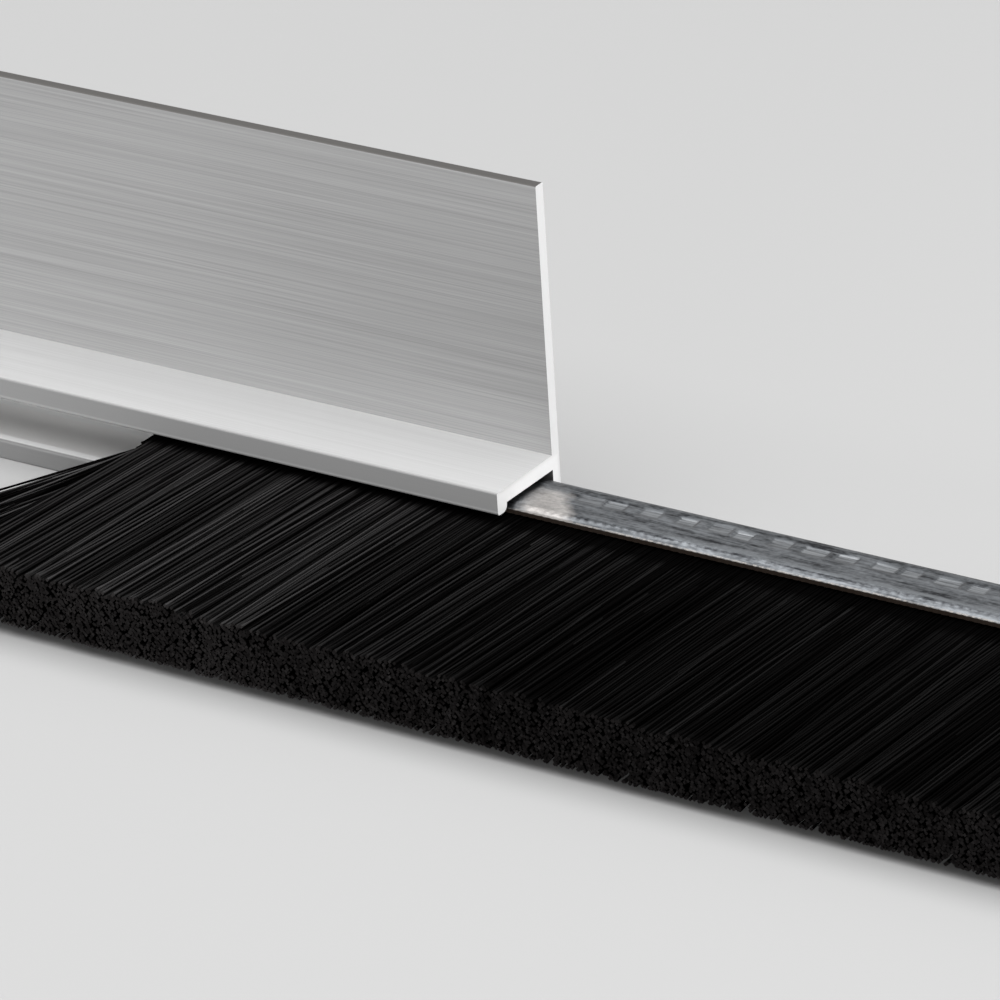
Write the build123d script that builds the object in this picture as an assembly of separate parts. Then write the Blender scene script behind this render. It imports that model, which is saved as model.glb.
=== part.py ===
from build123d import *
import math
import os
import random

# Door brush strip: an aluminium holder with a strip brush that slides along its channel.
# X runs along the strip, +Y points at the door and +Z is up. The origin is the centre of
# the flange's back face, which lies against the door. All lengths are in millimetres.

# Lengths along the strip
HOLDER_LENGTH = 150.0
BRUSH_LENGTH = 150.0
BRUSH_INSERTED = 37.5  # how much of the brush is inside the holder at rest

# Folded steel channel of the strip brush
STEEL_HEIGHT = 4.8
STEEL_DEPTH = 6.7
STEEL_GAUGE = 0.5
SPINE_RADIUS = 1.4  # outside radius of the two folds at the back
PINCH = 0.3  # how far each leg is bent in at the mouth
PINCH_DEPTH = 0.9  # how far behind the mouth that bend starts

# Crimps pressed into both legs of the channel
CRIMP_PITCH = 3.2
CRIMP_LENGTH = 2.4
CRIMP_WIDTH = 1.5
CRIMP_DEPTH = 0.2
CRIMP_SETBACK = 1.7  # from the channel's back to the crimps

# Core wire
WIRE_DIAMETER = 1.5
WIRE_WRAP = 0.8  # thickness of the bristles that fold round behind the wire

# Bristles
BRISTLE_LENGTH = 30.0  # free length in front of the steel channel
TIP_THICKNESS = 5.8
PACK_CLEARANCE = 0.05  # between the packed bristles and the steel around them
LOCK_PITCH = 1.5  # filaments gather into locks about this wide
LOCK_GROOVE = 0.45  # depth of the groove between two locks at the tips
ROOT_GROOVE = 0.12  # depth of the same groove at the channel's mouth
LOCK_UNEVENNESS = 0.25  # how much the locks differ in height at the tips
SPLAY_ANGLE = 26.0  # lean of the last filaments at each cut end, in degrees
SPLAY_FADE = 4.0  # distance from a cut end in which that lean falls to about a third
SPLAY_THINNING = 0.3  # share of the pack's thickness that is lost where it fans out
LOCK_SEED = 7

# Aluminium holder
FLANGE_HEIGHT = 25.0  # flange above the channel
FLANGE_WALL = 1.1
CHANNEL_WALL = 1.35
LIP_WALL = 1.4
LIP_ROUND = 0.3  # along the front of each lip's tip
LIP_BACK_ROUND = 0.6  # along the back of each lip's tip
INSIDE_ROUND = 0.7  # along the bottom of the channel's back wall
CORNER_ROUND = 0.15
SLIDE_CLEARANCE = 0.1  # behind and below the steel channel
LIP_CLEARANCE = 0.3  # between the steel channel and the lips in front of it
HEADROOM = 0.4  # above the steel channel
MOUTH_CLEARANCE = 0.45  # between the bristles and each lip

# Section of the holder, which is made to take the steel channel
channel_inside = STEEL_HEIGHT + SLIDE_CLEARANCE + HEADROOM
channel_height = channel_inside + 2 * CHANNEL_WALL
throat = STEEL_HEIGHT - 2 * PINCH - 2 * STEEL_GAUGE
holder_height = FLANGE_HEIGHT + channel_height
bottom_z = -holder_height / 2
top_z = holder_height / 2
shelf_z = bottom_z + channel_height
flange_front_y = -FLANGE_WALL
lip_back_y = flange_front_y - SLIDE_CLEARANCE - STEEL_DEPTH - LIP_CLEARANCE
lip_front_y = lip_back_y - LIP_WALL

# Place of the brush in the holder
brush_start = HOLDER_LENGTH / 2 - BRUSH_INSERTED
brush_end = brush_start + BRUSH_LENGTH
brush_z = bottom_z + CHANNEL_WALL + SLIDE_CLEARANCE + STEEL_HEIGHT / 2
spine_y = flange_front_y - SLIDE_CLEARANCE
mouth_y = spine_y - STEEL_DEPTH
tip_y = mouth_y - BRISTLE_LENGTH
wire_y = spine_y - STEEL_GAUGE - PACK_CLEARANCE - WIRE_WRAP - WIRE_DIAMETER / 2


def along_strip(section, start, length):
    """Extrude a section drawn in Y and Z along the strip."""
    return Pos(start, 0, 0) * extrude(Plane.YZ * section, amount=length)


def aluminium_holder():
    """Flange and C-shaped channel, extruded as one piece."""
    ceiling_z = shelf_z - CHANNEL_WALL
    floor_z = bottom_z + CHANNEL_WALL
    tip_high = brush_z + throat / 2 + MOUTH_CLEARANCE
    tip_low = brush_z - throat / 2 - MOUTH_CLEARANCE
    outline = Polyline(
        (0, bottom_z),
        (0, top_z),
        (flange_front_y, top_z),
        (flange_front_y, shelf_z),
        (lip_front_y, shelf_z),
        (lip_front_y, tip_high),
        (lip_back_y, tip_high),
        (lip_back_y, ceiling_z),
        (flange_front_y, ceiling_z),
        (flange_front_y, floor_z),
        (lip_back_y, floor_z),
        (lip_back_y, tip_low),
        (lip_front_y, tip_low),
        (lip_front_y, bottom_z),
        close=True,
    )
    section = make_face(outline)

    def corners(y, *heights):
        return [
            v
            for v in section.vertices()
            for z in heights
            if abs(v.X - y) < CORNER_ROUND / 10 and abs(v.Y - z) < CORNER_ROUND / 10
        ]

    for tip, reach in ((tip_high, ceiling_z - tip_high), (tip_low, tip_low - floor_z)):
        section = fillet(corners(lip_front_y, tip), min(LIP_ROUND, reach / 2, LIP_WALL / 4))
        section = fillet(corners(lip_back_y, tip), min(LIP_BACK_ROUND, reach * 0.85, LIP_WALL / 2))
    inside_round = min(INSIDE_ROUND, channel_inside / 6, STEEL_DEPTH / 6)
    section = fillet(corners(flange_front_y, floor_z), inside_round)
    corner_round = min(CORNER_ROUND, FLANGE_WALL / 4, CHANNEL_WALL / 4)
    section = fillet(corners(0, bottom_z, top_z), corner_round)
    section = fillet(corners(flange_front_y, top_z), corner_round)
    section = fillet(corners(lip_front_y, bottom_z, shelf_z), corner_round)
    return along_strip(section, -HOLDER_LENGTH / 2, HOLDER_LENGTH)


def folded_outline(inset):
    """Section inside the folded channel, at an inset from its outer surface."""
    back = spine_y - inset
    half = STEEL_HEIGHT / 2 - inset
    pinched = half - PINCH
    outline = Polyline(
        (mouth_y, brush_z + pinched),
        (mouth_y + PINCH_DEPTH, brush_z + half),
        (back, brush_z + half),
        (back, brush_z - half),
        (mouth_y + PINCH_DEPTH, brush_z - half),
        (mouth_y, brush_z - pinched),
        close=True,
    )
    section = make_face(outline)
    folds = section.vertices().sort_by(Axis.X)[-2:]
    return fillet(folds, SPINE_RADIUS - inset)


def steel_channel():
    """U-shaped channel folded from sheet, with a row of crimps in each leg."""
    sheet = folded_outline(0) - folded_outline(STEEL_GAUGE)
    channel = along_strip(sheet, brush_start, BRUSH_LENGTH)
    crimp = loft(
        [
            Pos(0, 0, side * CRIMP_DEPTH)
            * Rectangle(
                CRIMP_LENGTH + side * 2 * CRIMP_DEPTH,
                CRIMP_WIDTH + side * 2 * CRIMP_DEPTH,
            )
            for side in (-1, 1)
        ]
    )
    count = int((BRUSH_LENGTH - CRIMP_LENGTH) // CRIMP_PITCH)
    first_x = (brush_start + brush_end - (count - 1) * CRIMP_PITCH) / 2
    crimp_y = spine_y - CRIMP_SETBACK - CRIMP_WIDTH / 2
    crimps = []
    for i in range(count):
        x = first_x + i * CRIMP_PITCH
        crimps.append(Pos(x, crimp_y, brush_z + STEEL_HEIGHT / 2) * crimp)
        crimps.append(Pos(x, crimp_y, brush_z - STEEL_HEIGHT / 2) * Rot(180, 0, 0) * crimp)
    return channel - crimps


def core_wire():
    """Straight wire that the bristles are folded over."""
    section = Pos(wire_y, brush_z) * Circle(WIRE_DIAMETER / 2)
    return along_strip(section, brush_start, BRUSH_LENGTH)


def end_share(x):
    """How close a place is to the left and right cut ends: 1 at the end, fading inwards."""
    left = math.exp(-(x - brush_start) / SPLAY_FADE)
    right = math.exp(-(brush_end - x) / SPLAY_FADE)
    return left, right


def bristles():
    """Pack of filaments: folded round the wire, clamped at the mouth and gathered in locks."""
    root = folded_outline(STEEL_GAUGE + PACK_CLEARANCE)
    root -= Pos(wire_y, brush_z) * Circle(WIRE_DIAMETER / 2 + PACK_CLEARANCE)
    root_half = throat / 2 - PACK_CLEARANCE
    uneven = random.Random(LOCK_SEED)
    locks = round(BRUSH_LENGTH / LOCK_PITCH)
    root_edges = {1: [], -1: []}
    tip_edges = {1: [], -1: []}
    for step in range(2 * locks + 1):
        x = brush_start + BRUSH_LENGTH * step / (2 * locks)
        left, right = end_share(x)
        tip_x = x + BRISTLE_LENGTH * math.tan(math.radians(SPLAY_ANGLE)) * (right - left)
        thickness = TIP_THICKNESS / 2 * (1 - SPLAY_THINNING * (left + right))
        for side in (1, -1):
            crest = step % 2 == 1
            root_drop = 0 if crest else ROOT_GROOVE
            tip_drop = LOCK_UNEVENNESS * uneven.random() if crest else LOCK_GROOVE
            root_edges[side].append((x, brush_z + side * (root_half - root_drop)))
            tip_edges[side].append((tip_x, brush_z + side * (thickness - tip_drop)))
    sections = []
    for y, edges in ((mouth_y, root_edges), (tip_y, tip_edges)):
        plane = Plane(origin=(0, y, 0), x_dir=(1, 0, 0), z_dir=(0, -1, 0))
        outline = edges[1] + edges[-1][::-1]
        sections.append(plane * make_face(Polyline(*outline, close=True)))
    free_length = loft(sections, ruled=True)
    return along_strip(root, brush_start, BRUSH_LENGTH) + free_length


os.makedirs("parts", exist_ok=True)
export_step(aluminium_holder(), "parts/aluminium_holder.step")
export_step(steel_channel(), "parts/steel_channel.step")
export_step(core_wire(), "parts/core_wire.step")
export_step(bristles(), "parts/bristles.step")
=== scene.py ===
import math
import bmesh
import bpy
import numpy as np
from mathutils import Euler, Matrix, Vector


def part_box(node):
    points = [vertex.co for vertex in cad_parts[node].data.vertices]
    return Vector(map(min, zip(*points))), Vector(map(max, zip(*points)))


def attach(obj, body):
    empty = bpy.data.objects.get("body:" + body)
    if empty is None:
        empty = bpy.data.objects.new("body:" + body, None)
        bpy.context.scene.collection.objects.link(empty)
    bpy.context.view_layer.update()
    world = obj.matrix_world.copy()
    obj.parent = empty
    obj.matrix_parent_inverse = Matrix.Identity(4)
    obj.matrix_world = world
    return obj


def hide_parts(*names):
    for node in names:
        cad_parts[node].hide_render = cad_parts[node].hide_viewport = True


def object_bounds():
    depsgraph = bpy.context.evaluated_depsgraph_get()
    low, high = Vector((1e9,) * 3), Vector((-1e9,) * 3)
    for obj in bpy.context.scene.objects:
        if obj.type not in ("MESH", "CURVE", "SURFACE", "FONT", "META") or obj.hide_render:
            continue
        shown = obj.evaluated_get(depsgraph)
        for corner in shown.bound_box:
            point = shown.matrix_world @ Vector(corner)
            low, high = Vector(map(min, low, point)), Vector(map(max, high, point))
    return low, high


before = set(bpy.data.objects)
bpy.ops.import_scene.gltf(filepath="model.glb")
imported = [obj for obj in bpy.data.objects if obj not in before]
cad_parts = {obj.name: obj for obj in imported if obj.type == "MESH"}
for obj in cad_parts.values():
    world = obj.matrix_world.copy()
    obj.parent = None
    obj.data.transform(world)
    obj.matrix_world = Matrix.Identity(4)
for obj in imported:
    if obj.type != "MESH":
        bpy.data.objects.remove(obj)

cad_low, cad_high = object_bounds()
MM = 0.001

# Aluminium holder: one extruded length, anodised and brushed along its length.
# Its up-facing brushed faces are painted lighter, as light from above. The lips and the inside
# of the channel keep the plain mill finish, with painted light and shade in their tones,
# and the saw leaves the cut ends bright.
holder_low, holder_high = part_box("aluminium_holder")
SHELF_HEIGHT = 8.0 * MM
FLANGE_TONES = (0.297, 0.395)
# Painted light: the tones of the brushed faces that point up
UPWARD_LIT_TONES = (0.55, 0.62)
# Painted shade: the lip fronts are darker than the flange
SHADED_LIP_TONE = 0.26
LIP_EDGE_TONE = 0.35
SHADED_LOW_LIP_TONE = 0.215
# Inside the channel: painted light on faces that the light hardly reaches, and painted shade on the
# ceiling
LIT_LOW_LIP_TOP_TONE = 0.78
LIT_FLOOR_TONES = (0.78, 0.95)
LIT_BACK_WALL_TONE = 0.95
CEILING_SHADE_TONE = 0.09
TOP_EDGE_TONE = 0.075
SAWN_TONE = 0.77

shelf_z = holder_low.z + SHELF_HEIGHT
lip_y = holder_low.y
door_y = holder_high.y


def new_material(name, metallic, roughness):
    """A material with one Principled shader, with its node tree and that shader."""
    material = bpy.data.materials.new(name)
    material.use_nodes = True
    tree = material.node_tree
    shader = tree.nodes["Principled BSDF"]
    shader.inputs["Metallic"].default_value = metallic
    shader.inputs["Roughness"].default_value = roughness
    return material, tree, shader


def fill(tree, socket, value):
    """Link a socket to another node's output, or set it to a plain value."""
    if isinstance(value, bpy.types.NodeSocket):
        tree.links.new(value, socket)
    else:
        socket.default_value = value


def node(tree, kind, inputs=(), **settings):
    """Add one node, set its settings and fill its inputs."""
    made = tree.nodes.new(kind)
    for name, value in settings.items():
        setattr(made, name, value)
    for key, value in dict(inputs).items():
        fill(tree, made.inputs[key], value)
    return made


def math_node(tree, operation, *values):
    """A sum, product or other operation on plain values."""
    return node(tree, "ShaderNodeMath", enumerate(values), operation=operation).outputs[0]


def times(tree, first, second):
    """The product of two values, such as the overlap of two shares."""
    return math_node(tree, "MULTIPLY", first, second)


def spread(tree, value, low, high, to_low=0.0, to_high=1.0):
    """Map a value from one range to another, held at both ends."""
    made = node(
        tree,
        "ShaderNodeMapRange",
        {"Value": value, "From Min": low, "From Max": high, "To Min": to_low, "To Max": to_high},
    )
    return made.outputs[0]


def blend(tree, share, first, second):
    """Mix two colours by a share."""
    made = node(tree, "ShaderNodeMix", data_type="RGBA", blend_type="MIX")
    fill(tree, made.inputs[0], share)
    fill(tree, made.inputs[6], first)
    fill(tree, made.inputs[7], second)
    return made.outputs[2]


def object_place(tree):
    """Places on the piece, in metres."""
    return node(tree, "ShaderNodeTexCoord").outputs["Object"]


def place(tree, axis):
    """Place along one axis of the piece, in metres."""
    return node(tree, "ShaderNodeSeparateXYZ", {0: object_place(tree)}).outputs[axis]


def facing(tree, axis):
    """The part of the surface's direction along one axis of the piece."""
    direction = node(tree, "ShaderNodeTexCoord").outputs["Normal"]
    return node(tree, "ShaderNodeSeparateXYZ", {0: direction}).outputs[axis]


def ramp(tree, axis, face, start, end, low=0.0, high=1.0):
    """A share that changes between two distances from a face of the piece, in millimetres."""
    return spread(tree, place(tree, axis), face + start * MM, face + end * MM, low, high)


def streaks(tree, length, width, detail=3.0):
    """Noise drawn out along the strip: streaks of about this length and width."""
    scale = (1 / length, 1 / width, 1 / width)
    drawn = node(tree, "ShaderNodeMapping", {"Vector": object_place(tree), "Scale": scale}).outputs[0]
    noise = node(tree, "ShaderNodeTexNoise", {"Vector": drawn, "Scale": 1.0, "Detail": detail})
    return noise.outputs[0]


def grey(value, warm=0.0):
    """A grey, made a little warmer where asked."""
    return (value * (1 + warm), value, value * (1 - warm), 1.0)


aluminium, tree, shader = new_material("brushed_aluminium", metallic=0.5, roughness=0.55)
long_streaks = streaks(tree, length=45 * MM, width=0.15 * MM)
fine_streaks = streaks(tree, length=20 * MM, width=0.09 * MM)
brushing = math_node(tree, "ADD", times(tree, long_streaks, 0.5), times(tree, fine_streaks, 0.5))
streak = spread(tree, brushing, 0.35, 0.65)
# Faces that point up, such as the shelf, take the lighter tones: painted light from above on the same
# brushed finish
flange_colour = blend(tree, streak, *map(grey, FLANGE_TONES))
upward_lit_colour = blend(tree, streak, *map(grey, UPWARD_LIT_TONES))
lit_from_above = spread(tree, facing(tree, "Z"), 0.6, 0.8)
brushed_colour = blend(tree, lit_from_above, flange_colour, upward_lit_colour)

# Both lips, in the mill finish painted darker than the flange as shade, with a thin painted line of light
# along the upper one's lower edge
lip_edge = ramp(tree, "Z", shelf_z, -1.62, -1.78)
low_lip = ramp(tree, "Z", shelf_z, -3.0, -4.0)
lip_colour = blend(tree, lip_edge, grey(SHADED_LIP_TONE), grey(LIP_EDGE_TONE))
lip_colour = blend(tree, low_lip, lip_colour, grey(SHADED_LOW_LIP_TONE))

# Inside of the channel, in painted light and shade: a dark ceiling of painted shade, a floor painted pale
# as if lit, paler towards the back, a neutral back wall painted bright, and a pale painted top on the
# lower lip
above_channel = ramp(tree, "Z", shelf_z, -0.3, -0.1)
above_bottom = ramp(tree, "Z", holder_low.z, 0.4, 0.8)
past_lip_front = ramp(tree, "Y", lip_y, 0.16, 0.36)
inside = times(tree, past_lip_front, math_node(tree, "SUBTRACT", 1.0, above_channel))
inside = times(tree, inside, above_bottom)
low_inside = ramp(tree, "Z", shelf_z, -3.0, -4.5)
on_lip = ramp(tree, "Y", lip_y, 1.5, 1.3)
lit_inside = math_node(tree, "MAXIMUM", low_inside, on_lip)
towards_back = ramp(tree, "Y", lip_y, 1.6, 6.0)
floor_colour = blend(tree, towards_back, *(grey(tone, warm=0.01) for tone in LIT_FLOOR_TONES))
back_corner = ramp(tree, "Y", door_y, -2.7, -2.4)
floor_colour = blend(tree, back_corner, floor_colour, grey(LIT_BACK_WALL_TONE))
floor_colour = blend(tree, on_lip, floor_colour, grey(LIT_LOW_LIP_TOP_TONE))
inside_colour = blend(tree, lit_inside, grey(CEILING_SHADE_TONE), floor_colour)
mill_colour = blend(tree, inside, lip_colour, inside_colour)

# Brushed shelf, flange and back, with a dark top edge and bright sawn ends
behind_lip = ramp(tree, "Y", lip_y, 0.05, 0.25)
back_face = ramp(tree, "Y", door_y, -0.4, -0.2)
brushed = math_node(tree, "MAXIMUM", times(tree, behind_lip, above_channel), back_face)
top_edge = ramp(tree, "Z", holder_high.z, -0.12, -0.04)
sawn = spread(tree, math_node(tree, "ABSOLUTE", facing(tree, "X")), 0.8, 0.95)
colour = blend(tree, brushed, mill_colour, brushed_colour)
colour = blend(tree, top_edge, colour, grey(TOP_EDGE_TONE, warm=0.05))
colour = blend(tree, sawn, colour, grey(SAWN_TONE))
relief = {"Height": times(tree, brushing, brushed), "Strength": 0.15, "Distance": 0.02 * MM}
bump = node(tree, "ShaderNodeBump", relief)
fill(tree, shader.inputs["Base Color"], colour)
fill(tree, shader.inputs["Metallic"], spread(tree, brushed, 0.0, 1.0, 0.15, 0.5))
fill(tree, shader.inputs["Roughness"], spread(tree, brushing, 0.3, 0.7, 0.5, 0.62))
fill(tree, shader.inputs["Normal"], bump.outputs[0])
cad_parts["aluminium_holder"].data.materials.clear()
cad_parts["aluminium_holder"].data.materials.append(aluminium)

# Folded channel of the strip brush: galvanised sheet steel, pressed and folded in one pass.
# The press leaves a row of crimps in each leg, with the marks of the feed wheel in front of them.
# The shears leave a bare brown edge along the mouth.
steel_low, steel_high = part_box("steel_channel")
GAUGE = 0.5 * MM
FOLD_RADIUS = 1.4 * MM
FOLD_STEPS = 6
PINCH = 0.3 * MM
PINCH_DEPTH = 0.9 * MM
PINCH_STEPS = 5
SHEET_STEP = 0.2 * MM
FRONT_ROWS = 10
RIM_BEVEL = 0.035 * MM

CRIMP_PITCH = 3.2 * MM
CRIMP_LENGTH = 2.4 * MM
CRIMP_WIDTH = 1.3 * MM
CRIMP_DEPTH = 0.12 * MM
CRIMP_SETBACK = 2.0 * MM
CRIMP_WALL = 0.2 * MM
CRIMP_STARTS = (0.95, 0.45)  # lower and upper leg, in pitches from the cut end
CRIMP_SHIFT_X = 0.25 * MM
CRIMP_SHIFT_Y = 0.08 * MM
CRIMP_DEPTHS = (0.55, 1.1)  # least and greatest, as shares of the usual depth
CRIMP_LENGTHS = (0.72, 1.08)  # least and greatest, as shares of the usual length
MARK_SEED = 3

BITE_SETBACK = 0.68 * MM
BITE_PITCH = 0.85 * MM
BITE_DEPTH = 0.06 * MM
BITE_FILL = 0.2
BITE_WANDER = ((0.05 * MM, 2.1 * MM, 0.0), (0.04 * MM, 0.9 * MM, 1.0))  # waves: size, length, start
LINE_HALF = 0.12 * MM  # half the width of a line of bites or of painted shadow
LINE_SLOPE = 0.2 * MM
FRONT_SHADOW = 0.4
SERRATION_PITCH = 0.75 * MM
SERRATION = 0.03 * MM

steel_length = steel_high.x - steel_low.x
brush_z = (steel_low.z + steel_high.z) / 2
half_sheet = (steel_high.z - steel_low.z - GAUGE) / 2
back_y = steel_high.y - GAUGE / 2
front_y = steel_low.y
bend = FOLD_RADIUS - GAUGE / 2
crimp_back = steel_high.y - CRIMP_SETBACK
crimp_front = crimp_back - CRIMP_WIDTH

# One leg of the sheet's middle line, from the middle of the spine round the fold to the mouth
leg = [(back_y, 0.0)]
for angle in np.linspace(0, math.pi / 2, FOLD_STEPS):
    leg.append((back_y - bend + bend * math.cos(angle), half_sheet - bend + bend * math.sin(angle)))
crimp_rows = np.arange(back_y - bend - CRIMP_WALL / 2, crimp_front - CRIMP_WALL, -CRIMP_WALL)
front_rows = np.linspace(crimp_front - 1.5 * CRIMP_WALL, front_y + PINCH_DEPTH, FRONT_ROWS)
leg += [(y, half_sheet) for y in np.concatenate([crimp_rows, front_rows])]
for step in range(1, PINCH_STEPS + 1):
    share = step / PINCH_STEPS
    eased = share * share * (3 - 2 * share)
    leg.append((front_y + PINCH_DEPTH * (1 - share), half_sheet - PINCH * eased))
leg = np.array(leg)
profile = np.concatenate([leg[:0:-1] * (1, -1), leg])
tangent = np.gradient(profile, axis=0)
tangent /= np.linalg.norm(tangent, axis=1)[:, None]
inward = np.stack([-tangent[:, 1], tangent[:, 0]], axis=1)


def plateau(distance, half, slope):
    """1 inside a pressed mark, 0 outside it, with a sloping wall between."""
    return np.clip((half - np.abs(distance)) / slope + 0.5, 0, 1)


# A flat grid, with a row for each point of the section, that is folded and pressed point by point
bpy.ops.object.select_all(action="DESELECT")
bpy.ops.mesh.primitive_grid_add(
    x_subdivisions=round(steel_length / SHEET_STEP), y_subdivisions=len(profile) - 1, size=1
)
steel = bpy.context.object
steel.name = "folded_channel"
flat = np.empty(len(steel.data.vertices) * 3)
steel.data.vertices.foreach_get("co", flat)
flat = flat.reshape(-1, 3)
along = steel_low.x + (flat[:, 0] + 0.5) * steel_length
row = np.rint((flat[:, 1] + 0.5) * (len(profile) - 1)).astype(int)
y, z = profile[row].T
on_leg = np.abs(z) > half_sheet * 0.5
leg_index = (z > 0).astype(int)

# Crimps, each a little off its place, size and depth
marks = np.random.default_rng(MARK_SEED)
crimps = (2, int(steel_length / CRIMP_PITCH) + 3)
crimp_start = np.array(CRIMP_STARTS)[leg_index]
crimp_at = np.floor((along - steel_low.x) / CRIMP_PITCH + 1 - crimp_start + 0.5).astype(int)
shift_x = marks.normal(0, CRIMP_SHIFT_X, crimps)[leg_index, crimp_at]
shift_y = marks.normal(0, CRIMP_SHIFT_Y, crimps)[leg_index, crimp_at]
depth = marks.uniform(*CRIMP_DEPTHS, crimps)[leg_index, crimp_at]
half_length = CRIMP_LENGTH / 2 * marks.uniform(*CRIMP_LENGTHS, crimps)[leg_index, crimp_at]
from_x = along - (steel_low.x + (crimp_at - 1 + crimp_start) * CRIMP_PITCH + shift_x)
from_y = y - ((crimp_back + crimp_front) / 2 + shift_y)
in_width = plateau(from_y, CRIMP_WIDTH / 2, CRIMP_WALL)
crimp = plateau(from_x, half_length, CRIMP_WALL) * in_width * on_leg
wall = np.clip(4 * crimp * (1 - crimp), 0, 1)

# Marks of the feed wheel, in a line that wanders a little
wander = sum(size * np.sin(along / length + start) for size, length, start in BITE_WANDER)
wheel = np.clip(np.cos(2 * math.pi * along / BITE_PITCH) + BITE_FILL, 0, 1)
bite = plateau(y - (front_y + BITE_SETBACK) - wander, LINE_HALF, LINE_SLOPE) * wheel * on_leg

# Painted shadow along the front and right walls of each crimp, and darkened bite marks
right_wall = plateau(from_x - half_length, LINE_HALF, LINE_SLOPE) * in_width
front_wall = plateau(from_y + CRIMP_WIDTH / 2, LINE_HALF, LINE_SLOPE)
front_wall = front_wall * plateau(from_x, CRIMP_LENGTH / 2, CRIMP_WALL)
shadow_and_bites = np.clip((np.maximum(right_wall, FRONT_SHADOW * front_wall) * depth + bite) * on_leg, 0, 1)

pressed = crimp * depth * CRIMP_DEPTH + bite * BITE_DEPTH
y = y + inward[row, 0] * pressed
z = z + inward[row, 1] * pressed
at_mouth = (row == 0) | (row == len(profile) - 1)
teeth = SERRATION * np.cos(2 * math.pi * along / SERRATION_PITCH + leg_index)
y = y - np.where(at_mouth, teeth, 0)
steel.data.vertices.foreach_set("co", np.stack([along, y, z + brush_z], axis=1).ravel())
for name, values in (("burnished", crimp * depth), ("wall", wall), ("shadow_and_bites", shadow_and_bites)):
    layer = steel.data.attributes.new(name, "FLOAT", "POINT")
    layer.data.foreach_set("value", values.astype(np.float32))
steel.data.update()
solid = steel.modifiers.new("gauge", "SOLIDIFY")
solid.thickness = GAUGE
solid.offset = 0
solid.use_even_offset = True
bpy.ops.object.modifier_apply(modifier="gauge")
rims = steel.modifiers.new("rims", "BEVEL")
rims.width = RIM_BEVEL
rims.segments = 1
rims.limit_method = "ANGLE"
rims.angle_limit = math.radians(70)
bpy.ops.object.modifier_apply(modifier="rims")
bpy.ops.object.mode_set(mode="EDIT")
bpy.ops.mesh.select_all(action="SELECT")
bpy.ops.mesh.normals_make_consistent(inside=False)
bpy.ops.object.mode_set(mode="OBJECT")
bpy.ops.object.shade_smooth_by_angle(angle=math.radians(30))
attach(steel, "brush")
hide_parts("steel_channel")

# Zinc: spangle, rolling streaks and blotches, in lighter and darker bands from mouth to spine
ZINC_COLOURS = ((0.012, 0.013, 0.016, 1), (0.215, 0.228, 0.243, 1))
RUBBED_COLOUR = (0.30, 0.312, 0.325, 1)
# Painted shade for the crimp walls, and painted shadow along their edges with darkened bite marks
WALL_SHADE_COLOUR = (0.10, 0.106, 0.113, 1)
CRIMP_SHADOW_COLOUR = (0.05, 0.05, 0.055, 1)
# Painted light: the colours of the bright patch beside the holder's end
LIT_PATCH_COLOURS = ((0.46, 0.44, 0.425, 1), (0.62, 0.59, 0.57, 1))
SHADED_COLOUR = (0.0, 0.0, 0.0, 1)
RIM_HIGHLIGHT_COLOUR = (0.34, 0.325, 0.31, 1)
BARE_COLOUR = (0.024, 0.017, 0.013, 1)
SPANGLE_SHARE = 0.24
ROLLING_SHARE = 0.38
BLOTCH_SHARE = 0.38
BAND_STRENGTH = 0.2
BAND_TONES = (
    (0.0, 0.9), (0.07, 0.7), (0.105, 0.3), (0.15, 1.0), (0.19, 0.8),
    (0.25, 0.4), (0.5, 0.6), (0.7, 0.4), (0.84, 0.25),
)
READY_STOPS = 2  # a new colour ramp already has two stops

galvanised, tree, shader = new_material("galvanised_steel", metallic=1.0, roughness=0.35)
spangle = streaks(tree, length=0.5 * MM, width=0.3 * MM, detail=4.0)
rolling = streaks(tree, length=4 * MM, width=0.26 * MM, detail=4.0)
blotches = streaks(tree, length=2.6 * MM, width=0.8 * MM, detail=5.0)
tone = math_node(tree, "MULTIPLY_ADD", spangle, SPANGLE_SHARE, times(tree, rolling, ROLLING_SHARE))
tone = math_node(tree, "ADD", tone, times(tree, blotches, BLOTCH_SHARE))
from_mouth = spread(tree, place(tree, "Y"), front_y, steel_high.y)
bands = node(tree, "ShaderNodeValToRGB", {0: from_mouth})
stops = bands.color_ramp.elements
for index, (at, level) in enumerate(BAND_TONES):
    stop = stops[index] if index < READY_STOPS else stops.new(at)
    stop.position = at
    stop.color = grey(level)
band = math_node(tree, "MULTIPLY_ADD", bands.outputs[0], BAND_STRENGTH, -BAND_STRENGTH / 2)
tone = math_node(tree, "ADD", tone, band)
zinc = blend(tree, spread(tree, tone, 0.38, 0.61), *ZINC_COLOURS)


def attribute(tree, name):
    """A value that the mesh holds at its points."""
    return node(tree, "ShaderNodeAttribute", attribute_name=name).outputs["Fac"]


# Rubbed bottoms of the crimps, painted shade on their walls, and painted shadow with darkened bite marks
rub = times(tree, attribute(tree, "burnished"), spread(tree, rolling, 0.38, 0.58, 0.3, 0.95))
zinc = blend(tree, rub, zinc, RUBBED_COLOUR)
zinc = blend(tree, times(tree, attribute(tree, "wall"), 0.9), zinc, WALL_SHADE_COLOUR)
zinc = blend(tree, times(tree, attribute(tree, "shadow_and_bites"), 0.6), zinc, CRIMP_SHADOW_COLOUR)

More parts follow.
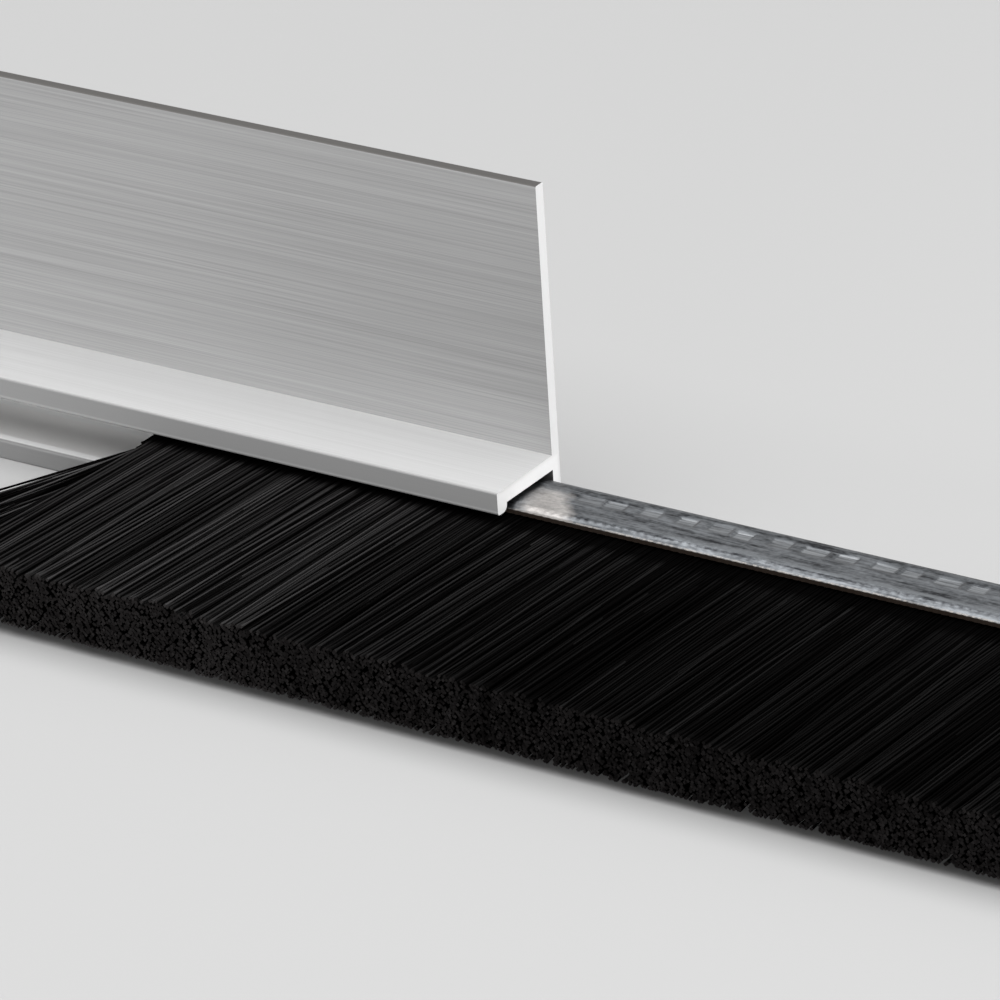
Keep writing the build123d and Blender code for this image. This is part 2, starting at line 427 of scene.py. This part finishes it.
# A bright patch with a slanted, broken edge: painted light on the strip beside the holder's end at rest,
# stopping short of the fold
LIT_PATCH_AT = 73.2 * MM
LIT_PATCH_SLANT = 0.68
LIT_PATCH_BREAKUP = 2.4 * MM
slanted = math_node(tree, "MULTIPLY_ADD", place(tree, "Y"), LIT_PATCH_SLANT, place(tree, "X"))
lit_patch_far = math_node(tree, "ABSOLUTE", math_node(tree, "SUBTRACT", slanted, LIT_PATCH_AT))
lit_patch_far = math_node(tree, "MULTIPLY_ADD", blotches, LIT_PATCH_BREAKUP, lit_patch_far)
lit_patch = spread(tree, lit_patch_far, 3.0 * MM, 4.4 * MM, 0.9, 0.0)
lit_patch = times(tree, lit_patch, ramp(tree, "Y", steel_high.y, -2.9, -2.2, 1.0, 0.1))
# Painted shadow of the shelf: the patch fades out towards the holder's end
lit_patch = times(tree, lit_patch, ramp(tree, "X", holder_high.x, 0.0, 2.0, 0.15, 1.0))
lit_patch_colour = blend(tree, spread(tree, spangle, 0.35, 0.65), *LIT_PATCH_COLOURS)
zinc = blend(tree, lit_patch, zinc, lit_patch_colour)

# The mouth: bent in, with painted shade on the bent-in strip, a painted highlight along the ticked rim
# and a bare cut edge
bent_in = ramp(tree, "Y", front_y, 0.6, 1.0, 0.12, 0.0)
zinc = blend(tree, bent_in, zinc, SHADED_COLOUR)
ticks = spread(tree, streaks(tree, length=0.35 * MM, width=1.0 * MM, detail=1.0), 0.42, 0.55, 0.25, 0.9)
rim_highlight = times(tree, ramp(tree, "Y", front_y, 0.06, 0.16, 1.0, 0.0), ticks)
zinc = blend(tree, rim_highlight, zinc, RIM_HIGHLIGHT_COLOUR)
cut_edge = spread(tree, times(tree, facing(tree, "Y"), -1.0), 0.75, 0.95)
bare = times(tree, cut_edge, ramp(tree, "Y", front_y, 0.08, 0.16, 1.0, 0.0))
zinc = blend(tree, bare, zinc, BARE_COLOUR)
fill(tree, shader.inputs["Base Color"], zinc)
fill(tree, shader.inputs["Metallic"], spread(tree, bare, 0.0, 1.0, 1.0, 0.0))
fill(tree, shader.inputs["Roughness"], spread(tree, tone, 0.3, 0.7, 0.5, 0.3))
steel.data.materials.append(galvanised)

# Core wire: drawn steel, laid in the fold of the bristles before the channel closes on them.
# Only its sheared ends show.
WIRE_COLOUR = (0.45, 0.45, 0.46, 1)
drawn_wire, tree, shader = new_material("wire_steel", metallic=1.0, roughness=0.3)
fill(tree, shader.inputs["Base Color"], WIRE_COLOUR)
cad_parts["core_wire"].data.materials.clear()
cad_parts["core_wire"].data.materials.append(drawn_wire)

# Bristles: black nylon filaments, each folded in half over the core wire and clamped by the channel.
# They gather into locks, spread towards the tips and fan out at the two cut ends.
wire_low, wire_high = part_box("core_wire")
bristle_low, bristle_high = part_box("bristles")
FILAMENT_RADIUS = 0.11 * MM
FILAMENT_SIDES = 4
CUT_SPREAD = 1.6  # how much wider the blade leaves each tip
WRAP_TURNS = (0, 45, 90)  # degrees round the wire, with a ring of points at each
FREE_SHARES = (0.0, 0.5, 0.96, 1.0)  # of the free length, with a ring of points at each
FILAMENT_RINGS = len(WRAP_TURNS) + len(FREE_SHARES)

# The pack, where a pair of sizes is for the upper (1) and the lower leg (-1)
LAYERS = 12
COLUMN_PITCH = 0.24 * MM
ROOT_UNEVENNESS = 0.05 * MM
THROAT_HALF = 1.5 * MM
TIP_HALF = 2.75 * MM
LOCK_PITCH = 1.5 * MM
LOCK_WIDTHS = (0.5, 1.6)  # least and greatest, as shares of the pitch
LOCK_EDGE_SWING = 0.2 * MM
LOCK_GATHER = 0.06
LOCK_LEAN = 0.13 * MM
LOCK_LIFT = {1: 0.16 * MM, -1: 0.04 * MM}
LOCK_GROOVE = {1: 0.06, -1: 0.02}
TIP_UNEVENNESS_X = 0.3 * MM
TIP_UNEVENNESS_Z = {1: 0.07 * MM, -1: 0.021 * MM}
CUT_UNEVENNESS = 0.05 * MM
BOW_X = 0.12 * MM
BOW_Z = 0.06 * MM

# The fans at the cut ends
SPLAY_ANGLE = 25.5
SPLAY_UNEVENNESS = 2.0
SPLAY_FROM = 0.22  # depth in the pack, as a share, where the fan starts to open
SPLAY_TO = 0.36
FAN_REACH_TOP = 1.6 * MM
FAN_REACH_BOTTOM = 3.6 * MM
FAN_THINNING = 0.3
FAN_OPENING = 0.5  # a filament counts as fanned when it has opened further than this,
FAN_NEARNESS = 0.2  # is nearer to a cut end than this (1 at the end, fading inwards),
FAN_DEPTH = 0.6  # and lies higher in the pack than this
END_SLANT = 0.9 * MM
END_RAGGEDNESS = 0.2 * MM
STUB_LENGTHS = (0.05, 0.10)  # least and greatest, as shares of the free length
STUBS_BELOW = 0.08
STRAY_SHARE = 0.02
STRAY_SWING = 1.4
FAN_STRAY_SHARE = 0.16
FAN_STRAY_SWING = 2.4
FAN_STRAY_LIFTS = (0.2 * MM, 0.7 * MM)

# Gloss of each filament, which also sets its colour: painted sheen, dull in the middle of the brush and
# brighter towards its ends, and painted shade on the inner layers
SHEEN_RAMP_FROM = 20 * MM
SHEEN_RAMP_TO = 50 * MM
OUTER_GLOSS = (0.28, 0.36)  # dull, and what the painted sheen towards the ends adds
OUTER_GLOSS_SPREAD = (0.08, 0.13)
INNER_GLOSS = (0.22, 0.18)
INNER_GLOSS_SPREAD = 0.1
LOCK_GLOSS_SPREAD = 0.04
FAN_GLOSS = 0.25
BRIGHT_GLOSS = 0.75  # what the bright filaments of a fan have above the dark ones
BRIGHT_ABOVE = 0.75
STRAY_GLOSS = 0.5
FILLED = 0.94
OUTER_FILLED = 0.7
SEEDS = {1: 11, -1: 12}

wire_y = (wire_low.y + wire_high.y) / 2
wire_radius = (wire_high.y - wire_low.y) / 2
around_wire = wire_radius + FILAMENT_RADIUS * 1.2
wrap_room = FILAMENT_RADIUS * 2.5
wrap_back = steel_high.y - GAUGE - wire_high.y - wrap_room
wrap_above = half_sheet - GAUGE / 2 - wire_radius - wrap_room
tip_y = bristle_low.y
free_length = front_y - tip_y

# One straight filament with rings along it, that every leg of every filament is a bent copy of
bpy.ops.object.select_all(action="DESELECT")
bpy.ops.mesh.primitive_cylinder_add(vertices=FILAMENT_SIDES, radius=1, depth=1, location=(0, 0, 0.5))
pattern = bpy.context.object
bpy.ops.object.mode_set(mode="EDIT")
bpy.ops.mesh.select_all(action="DESELECT")
shape = bmesh.from_edit_mesh(pattern.data)
for edge in shape.edges:
    low_end, high_end = sorted(v.co.z for v in edge.verts)
    edge.select = high_end - low_end > 0.5
bmesh.update_edit_mesh(pattern.data)
bpy.ops.mesh.subdivide(number_cuts=FILAMENT_RINGS - 2)
bpy.ops.object.mode_set(mode="OBJECT")
bpy.ops.object.transform_apply(location=True)
points = np.array([v.co for v in pattern.data.vertices])
pattern_ring = np.rint(points[:, 2] * (FILAMENT_RINGS - 1)).astype(int)
pattern_angle = np.arctan2(points[:, 1], points[:, 0])
pattern_faces = [np.array(p.vertices) for p in pattern.data.polygons]
bpy.data.objects.remove(pattern)


def filament_paths(leg_side):
    """Middle lines of one leg of all filaments, from round the wire to the tips, and their gloss."""
    chance = np.random.default_rng(SEEDS[leg_side])

    # Roots in staggered rows, layer on layer
    per_layer = round(steel_length / COLUMN_PITCH)
    count = per_layer * LAYERS
    column = np.tile(np.arange(per_layer), LAYERS)
    layer = np.repeat(np.arange(LAYERS), per_layer)
    outer = layer == LAYERS - 1
    rise = (layer + 0.5) / LAYERS
    depth_in_pack = 0.5 - 0.5 * leg_side * rise
    root_x = steel_low.x + (column + 0.5 + 0.5 * (layer % 2 - 0.5)) * COLUMN_PITCH
    root_x = root_x + chance.normal(0, ROOT_UNEVENNESS, count)
    root_x = np.clip(root_x, steel_low.x + FILAMENT_RADIUS, steel_high.x - FILAMENT_RADIUS)

    # Locks of uneven width, each with its own lean and lift
    locks = round(2 * steel_length / LOCK_PITCH)
    lock_width = LOCK_PITCH * chance.uniform(*LOCK_WIDTHS, locks)
    lock_edge = steel_low.x + np.cumsum(lock_width)
    lock = np.searchsorted(lock_edge, root_x + LOCK_EDGE_SWING * np.sin(layer * 2.0))
    lock_x = lock_edge[lock] - lock_width[lock] / 2
    lock_lean = chance.normal(0, LOCK_LEAN, locks)[lock]
    lock_lift = chance.normal(0, LOCK_LIFT[leg_side], locks)[lock]
    groove = np.abs(root_x - lock_x) / lock_width[lock] * 2

    # Fans at both cut ends, which open below the top of the pack, and stubs above them
    fan_reach = FAN_REACH_TOP + (FAN_REACH_BOTTOM - FAN_REACH_TOP) * depth_in_pack
    left = np.exp(-(root_x - steel_low.x) / fan_reach)
    right = np.exp(-(steel_high.x - root_x) / fan_reach)
    opening = np.clip((depth_in_pack - SPLAY_FROM) / (SPLAY_TO - SPLAY_FROM), 0, 1)
    from_end = np.minimum(root_x - steel_low.x, steel_high.x - root_x)
    ragged = np.abs(chance.normal(0, END_RAGGEDNESS, count))
    slant = END_SLANT * np.clip(1 - depth_in_pack / SPLAY_TO, 0, 1)
    stub = from_end < slant + ragged * (1 - opening)
    fanned = (opening > FAN_OPENING) & (np.maximum(left, right) > FAN_NEARNESS)
    fanned = fanned & (depth_in_pack < FAN_DEPTH)

    # Places of the tips
    splay = SPLAY_ANGLE * opening + chance.normal(0, SPLAY_UNEVENNESS, count)
    tip_x = root_x + free_length * np.tan(np.radians(splay)) * (right - left)
    tip_x = tip_x + LOCK_GATHER * (lock_x - root_x) + lock_lean
    tip_x = tip_x + chance.normal(0, TIP_UNEVENNESS_X, count)
    stray = chance.random(count) < np.where(fanned, FAN_STRAY_SHARE, STRAY_SHARE)
    swing = np.where(fanned, FAN_STRAY_SWING, STRAY_SWING) * chance.normal(0, MM, count)
    tip_x = tip_x + stray * swing
    tip_x = np.clip(tip_x, bristle_low.x + FILAMENT_RADIUS, bristle_high.x - FILAMENT_RADIUS)
    fan_stray = stray & fanned
    tip_rise = TIP_HALF * rise * (1 - LOCK_GROOVE[leg_side] * groove**2)
    tip_rise = tip_rise * (1 - FAN_THINNING * (left + right)) + rise * lock_lift
    tip_rise = tip_rise + chance.normal(0, TIP_UNEVENNESS_Z[leg_side], count)
    tip_rise = tip_rise + fan_stray * leg_side * chance.uniform(*FAN_STRAY_LIFTS, count)

    # Points along each leg: round the wire, then from the mouth to the tip in a slight bow
    mouth_rise = THROAT_HALF * rise
    bow_x = chance.normal(0, BOW_X, count)
    bow_z = chance.normal(0, BOW_Z, count)
    end_y = tip_y + np.abs(chance.normal(0, CUT_UNEVENNESS, count))
    reach = np.where(stub, chance.uniform(*STUB_LENGTHS, count), 1.0)
    path = np.empty((count, FILAMENT_RINGS, 3))
    for ring, turn in enumerate(WRAP_TURNS):
        angle = math.radians(turn)
        path[:, ring, 0] = root_x
        path[:, ring, 1] = wire_y + math.cos(angle) * (around_wire + rise * wrap_back)
        path[:, ring, 2] = math.sin(angle) * (around_wire + rise * wrap_above)
    for ring, free_share in enumerate(FREE_SHARES, start=len(WRAP_TURNS)):
        share = free_share * reach
        bow = 4 * share * (1 - share)
        path[:, ring, 0] = root_x + (tip_x - root_x) * share + bow * bow_x
        path[:, ring, 1] = front_y + (end_y - front_y) * share
        path[:, ring, 2] = mouth_rise + (tip_rise - mouth_rise) * share + bow * bow_z
    path[:, :, 2] = brush_z + leg_side * path[:, :, 2]

    # Gloss: painted sheen brighter towards the ends, painted shade on the inner layers, with a mix of
    # bright and dark filaments in the fans
    from_middle = np.abs(root_x - (steel_low.x + steel_high.x) / 2)
    sheen_towards_ends = np.clip((from_middle - SHEEN_RAMP_FROM) / (SHEEN_RAMP_TO - SHEEN_RAMP_FROM), 0, 1)
    inner_gloss = np.where(fanned, FAN_GLOSS, INNER_GLOSS[0] + INNER_GLOSS[1] * sheen_towards_ends)
    gloss = np.where(outer, OUTER_GLOSS[0] + OUTER_GLOSS[1] * sheen_towards_ends, inner_gloss)
    gloss = gloss + STRAY_GLOSS * fan_stray + LOCK_GLOSS_SPREAD * chance.normal(0, 1, locks)[lock]
    draw = chance.normal(0, 1, count)
    inner_change = np.where(fanned, BRIGHT_GLOSS * (draw > BRIGHT_ABOVE), INNER_GLOSS_SPREAD * draw)
    outer_change = (OUTER_GLOSS_SPREAD[0] + OUTER_GLOSS_SPREAD[1] * sheen_towards_ends) * draw
    gloss = gloss + np.where(outer, outer_change, inner_change)

    # Gaps in the pack, closer together in the upper leg's outer layer
    kept = chance.random(count) < np.where(outer & (leg_side > 0), OUTER_FILLED, FILLED)
    kept = kept & (~stub | (depth_in_pack > STUBS_BELOW))
    return path[kept], np.clip(gloss, 0, 1)[kept]


# The map has the gloss of a filament across it and the way along the filament up it
GLOSS_MARGIN = 0.02
LENGTH_MARGIN = 0.01
FACE_STEP = 0.0005  # keeps the sides of one filament apart on the map


def filament_piece(name, path, shade):
    """Some filaments of one leg, as one mesh with a map of how glossy and how far along each is."""
    count = len(path)
    ahead = np.gradient(path, axis=1)
    ahead /= np.linalg.norm(ahead, axis=2)[:, :, None]
    across = np.cross(ahead, (1.0, 0.0, 0.0))
    across /= np.linalg.norm(across, axis=2)[:, :, None]
    beside = np.cross(across, ahead)
    radius = np.where(pattern_ring == FILAMENT_RINGS - 1, CUT_SPREAD, 1.0)[:, None] * FILAMENT_RADIUS
    surface = path[:, pattern_ring] + radius * (
        np.cos(pattern_angle)[:, None] * beside[:, pattern_ring]
        + np.sin(pattern_angle)[:, None] * across[:, pattern_ring]
    )
    surface[:, :, 0] = np.clip(surface[:, :, 0], bristle_low.x, bristle_high.x)
    surface[:, :, 1] = np.maximum(surface[:, :, 1], tip_y)

    per_copy = len(pattern_ring)
    corners = np.concatenate(pattern_faces)
    loops = (corners[None, :] + per_copy * np.arange(count)[:, None]).ravel()
    face_sizes = np.tile([len(face) for face in pattern_faces], count)
    starts = np.concatenate([[0], np.cumsum(face_sizes)[:-1]])
    mesh = bpy.data.meshes.new(name)
    mesh.vertices.add(count * per_copy)
    mesh.vertices.foreach_set("co", surface.ravel())
    mesh.loops.add(len(loops))
    mesh.loops.foreach_set("vertex_index", loops.astype(np.int32))
    mesh.polygons.add(len(face_sizes))
    mesh.polygons.foreach_set("loop_start", starts.astype(np.int32))
    mesh.update(calc_edges=True)

    # Round shading along the filament, with a sharp edge round both of its ends
    ends = np.empty(len(mesh.edges) * 2, dtype=np.int32)
    mesh.edges.foreach_get("vertices", ends)
    end_rings = np.tile(pattern_ring, count)[ends].reshape(-1, 2)
    on_cut = (end_rings[:, 0] == end_rings[:, 1]) & (end_rings[:, 0] % (FILAMENT_RINGS - 1) == 0)
    sharp = mesh.attributes.new("sharp_edge", "BOOLEAN", "EDGE")
    sharp.data.foreach_set("value", on_cut)

    way_along = pattern_ring / (FILAMENT_RINGS - 1)
    u = (GLOSS_MARGIN + (1 - 2 * GLOSS_MARGIN) * shade)[:, None]
    u = u + FACE_STEP * np.cos(pattern_angle)[corners][None, :]
    v = np.broadcast_to((LENGTH_MARGIN + (1 - 2 * LENGTH_MARGIN) * way_along)[corners], u.shape)
    uv = mesh.uv_layers.new(name="OFBake")
    uv.data.foreach_set("uv", np.stack([u, v], axis=2).ravel())

    piece = bpy.data.objects.new(name, mesh)
    bpy.context.scene.collection.objects.link(piece)
    bpy.ops.object.select_all(action="DESELECT")
    bpy.context.view_layer.objects.active = piece
    piece.select_set(True)
    bpy.ops.object.mode_set(mode="EDIT")
    bpy.ops.mesh.select_all(action="SELECT")
    bpy.ops.mesh.normals_make_consistent(inside=False)
    bpy.ops.object.mode_set(mode="OBJECT")
    bpy.ops.object.shade_smooth()
    return piece


# Nylon: painted shadow at the roots, under the upper lip, with a painted brighter band just past it, and
# greyer and less shiny on the cut tips
NYLON_COLOURS = ((0.0009, 0.0008, 0.0008, 1), (0.0115, 0.0105, 0.0108, 1))
CUT_COLOURS = ((0.003, 0.0027, 0.0027, 1), (0.0165, 0.015, 0.015, 1))
nylon, tree, shader = new_material("black_nylon", metallic=0.0, roughness=0.38)
mapped = node(tree, "ShaderNodeUVMap", uv_map="OFBake").outputs[0]
gloss_of, way_along, _ = node(tree, "ShaderNodeSeparateXYZ", {0: mapped}).outputs
sheen = math_node(tree, "POWER", gloss_of, 3.0)
# Painted shadow of the upper lip at the roots, then a painted brighter band that turns a little dimmer
# towards the tips
sheen = times(tree, sheen, spread(tree, way_along, 0.519, 0.534, 0.08, 1.3))
sheen = times(tree, sheen, spread(tree, way_along, 0.545, 0.61, 1.0, 0.78))
cut_end = spread(tree, way_along, 0.985, 0.989)
cut_colour = blend(tree, spread(tree, gloss_of, 0.1, 0.7), *CUT_COLOURS)
colour = blend(tree, cut_end, blend(tree, sheen, *NYLON_COLOURS), cut_colour)
shine = times(tree, spread(tree, sheen, 0.0, 1.0, 0.005, 0.5), spread(tree, cut_end, 0.0, 1.0, 1.0, 0.25))
fill(tree, shader.inputs["Base Color"], colour)
fill(tree, shader.inputs["Specular IOR Level"], shine)
fill(tree, shader.inputs["Roughness"], spread(tree, sheen, 0.0, 1.0, 0.5, 0.32))
for leg_name, leg_side in (("upper", 1), ("lower", -1)):
    path, shade = filament_paths(leg_side)
    half = len(path) // 2
    for part_name, part in (("inner", slice(0, half)), ("outer", slice(half, None))):
        piece = filament_piece(f"{leg_name}_{part_name}_bristles", path[part], shade[part])
        piece.data.materials.append(nylon)
        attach(piece, "brush")
        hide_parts("bristles")

# Table top: a plain pale sheet that the holder stands on, wide enough to fill the picture.
# It is matt, so it shows the strip's soft shadow and hardly reflects it.
TABLE_SIZE = 8
TABLE_TONE = 0.42
bpy.ops.object.select_all(action="DESELECT")
bpy.ops.mesh.primitive_plane_add(size=TABLE_SIZE, location=(0, 0, 0))
floor = bpy.context.object
floor.name = "table_top"
floor.data.transform(Matrix.Translation((0, 0, cad_low.z)))
paper, tree, shader = new_material("pale_table", metallic=0.0, roughness=0.9)
fill(tree, shader.inputs["Base Color"], grey(TABLE_TONE))
fill(tree, shader.inputs["Specular IOR Level"], 0.1)
floor.data.materials.append(paper)

# Light: a pale room with three soft lamps. A wide one hangs overhead, a low one in front
# lights the flange and the channel, and one on the right lights the cut ends.
# The room looks brighter, to the eye and in reflections, than the light that it gives.
ROOM_LIGHT = 0.35
ROOM_BRIGHTNESS = 0.7
LAMP_TARGET = Vector((0.06, -0.01, 0.0))
world = bpy.data.worlds.new("studio")
bpy.context.scene.world = world
world.use_nodes = True
tree = world.node_tree
background = tree.nodes["Background"]
background.inputs["Color"].default_value = (1, 1, 1, 1)
ray = node(tree, "ShaderNodeLightPath").outputs
seen = math_node(tree, "MAXIMUM", ray["Is Camera Ray"], ray["Is Glossy Ray"])
fill(tree, background.inputs["Strength"], spread(tree, seen, 0.0, 1.0, ROOM_LIGHT, ROOM_BRIGHTNESS))


def soft_lamp(name, place_at, size, power):
    """A rectangular lamp that points at the middle of the strip."""
    lamp = bpy.data.lights.new(name, "AREA")
    lamp.shape = "RECTANGLE"
    lamp.size, lamp.size_y = size
    lamp.energy = power
    made = bpy.data.objects.new(name, lamp)
    bpy.context.scene.collection.objects.link(made)
    made.location = place_at
    aim = LAMP_TARGET - Vector(place_at)
    made.rotation_euler = aim.to_track_quat("-Z", "Y").to_euler()


soft_lamp("overhead", place_at=(0.05, -0.12, 1.0), size=(2.0, 1.6), power=22.5)
soft_lamp("front", place_at=(0.04, -1.1, 0.10), size=(0.9, 0.3), power=6.0)
soft_lamp("right_side", place_at=(1.1, -0.1, 0.35), size=(0.6, 0.6), power=8.5)

# Camera: at the photograph's viewing angle, in front of the strip, to its right and above it.
# A long lens from more than half a metre away gives a shallow perspective.
CAMERA_PLACE = Vector((394.51, -460.95, 254.04)) * MM
CAMERA_TURN = 35.27
CAMERA_TILT = 25.445
CAMERA_ROLL = 3.716
lens = bpy.data.cameras.new("camera")
lens.lens = 260.5
lens.sensor_width = 36.0
lens.clip_start = 0.01
camera = bpy.data.objects.new("camera", lens)
bpy.context.scene.collection.objects.link(camera)
camera.location = CAMERA_PLACE
level = Euler((math.radians(90 - CAMERA_TILT), 0, math.radians(CAMERA_TURN)), "XYZ").to_matrix()
rolled = level @ Euler((0, 0, math.radians(-CAMERA_ROLL)), "XYZ").to_matrix()
camera.rotation_euler = rolled.to_euler()
bpy.context.scene.camera = camera
bpy.context.scene.view_settings.view_transform = "Standard"
